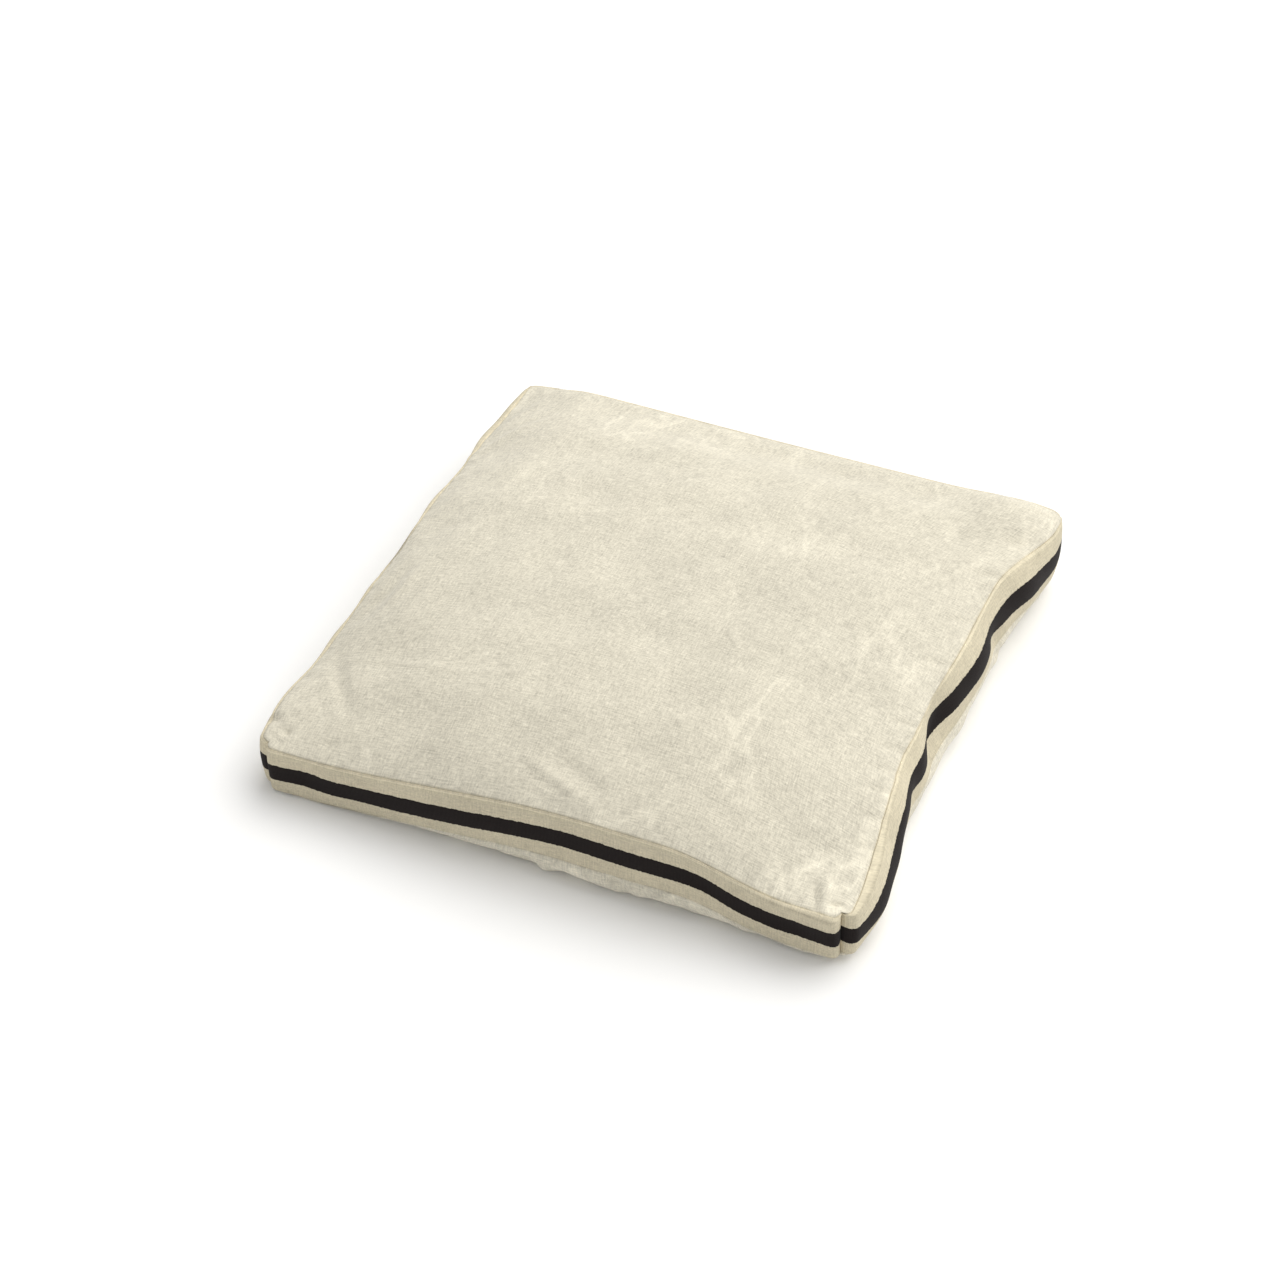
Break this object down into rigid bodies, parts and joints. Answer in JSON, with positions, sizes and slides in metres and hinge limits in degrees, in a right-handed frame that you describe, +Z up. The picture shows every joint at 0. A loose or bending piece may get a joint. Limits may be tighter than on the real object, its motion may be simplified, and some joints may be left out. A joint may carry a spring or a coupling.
{
  "type": "floor cushion",
  "caption": "Square boxed linen floor cushion with a black-striped side band, loose fibre pad and a zip at the back.",
  "frame": {"origin": "on the floor under the middle of the cushion", "axes": "+Z up out of the crown, +Y to the back band with the zip, +X to the right-hand band seen from the front"},
  "size_m": [0.6506, 0.6506, 0.14],
  "materials": {
    "linen": "matte",
    "band_linen": "matte",
    "pad_cotton": "matte",
    "fibre": "matte",
    "label": "satin",
    "zip_tape": "matte",
    "zip_coil": "satin",
    "zip_metal": "satin"
  },
  "bodies": {
    "cushion": {"top_panel": "linen", "bottom_panel": "linen", "band_front": "band_linen", "band_right": "band_linen", "band_back": "band_linen", "band_left": "band_linen", "pad_case_top": "pad_cotton", "pad_case_bottom": "pad_cotton", "pad_case_band_front": "pad_cotton", "pad_case_band_right": "pad_cotton", "pad_case_band_back": "pad_cotton", "pad_case_band_left": "pad_cotton", "pad_filling": "fibre", "care_label": "label", "zip_tape_upper": "zip_tape", "zip_tape_lower": "zip_tape", "zip_coil_upper": "zip_coil", "zip_coil_lower": "zip_coil", "zip_top_stop_upper": "zip_metal", "zip_top_stop_lower": "zip_metal", "zip_bottom_stop": "zip_metal"},
    "slider": {"zip_slider": "zip_metal"},
    "pull": {"zip_pull": "zip_metal"}
  },
  "joints": [
    {"name": "zip_slide", "type": "slide", "parent": "cushion", "child": "slider", "axis": [1, 0, 0], "range_m": [-0.411, 0]},
    {"name": "pull_flip", "type": "hinge", "parent": "slider", "child": "pull", "pos_m": [0.2142, 0.30875, 0.032], "axis": [0, 0, -1], "range_deg": [0, 165]}
  ]
}
